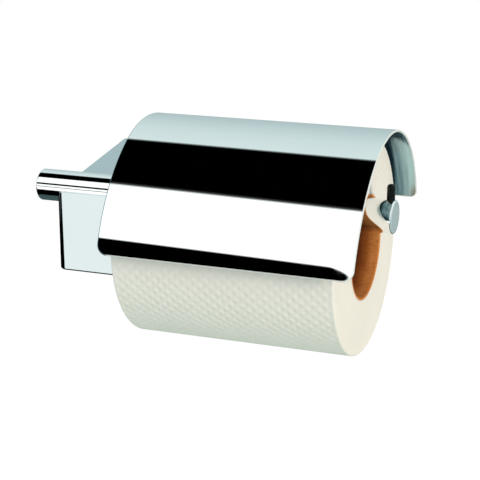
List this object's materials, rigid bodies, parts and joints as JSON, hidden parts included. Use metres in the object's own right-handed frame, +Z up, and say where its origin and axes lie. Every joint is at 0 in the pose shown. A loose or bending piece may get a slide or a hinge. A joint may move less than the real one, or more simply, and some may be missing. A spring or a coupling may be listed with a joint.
{
  "type": "toilet paper holder with flap",
  "caption": "Wall bracket with a round rod that carries a toilet roll, a stop pin at the rod's free end and a bent chrome flap, hinged to the bracket, lying on the roll.",
  "frame": {"origin": "on the wall plane, at the centre of the wall plate's two screw holes", "axes": "+X along the rod to its free end, +Y into the wall, +Z up"},
  "size_m": [0.162, 0.1153, 0.0943],
  "materials": {
    "chrome": "polished",
    "plated_steel": "bright zinc-plated",
    "bush_plastic": "natural acetal",
    "paper": "soft embossed tissue",
    "cardboard": "matt grey-brown board"
  },
  "bodies": {
    "holder": {"bracket_body": "chrome", "wall_plate": "plated_steel", "bracket_set_screw": "plated_steel", "rod_tube": "chrome", "rod_plug_left": "chrome", "rod_plug_right": "chrome", "roll_stop_pin": "chrome", "rod_insert": "plated_steel", "rod_lock_washers": "plated_steel", "rod_screws": "plated_steel", "hinge_bush": "bush_plastic"},
    "flap": {"cover_sheet": "chrome", "cover_ear": "chrome", "hinge_pin": "plated_steel", "hinge_washer": "plated_steel", "hinge_nut": "plated_steel"},
    "roll": {"paper_roll": "paper", "core_tube": "cardboard"}
  },
  "joints": [
    {"name": "flap_hinge", "type": "hinge", "parent": "holder", "child": "flap", "pos_m": [0.021, -0.02197, 0.00332], "axis": [-1, 0, 0], "range_deg": [0, 51]},
    {"name": "roll_spin", "type": "hinge", "parent": "holder", "child": "roll", "pos_m": [0.0735, -0.063, -0.0005], "axis": [1, 0, 0], "continuous": true}
  ]
}
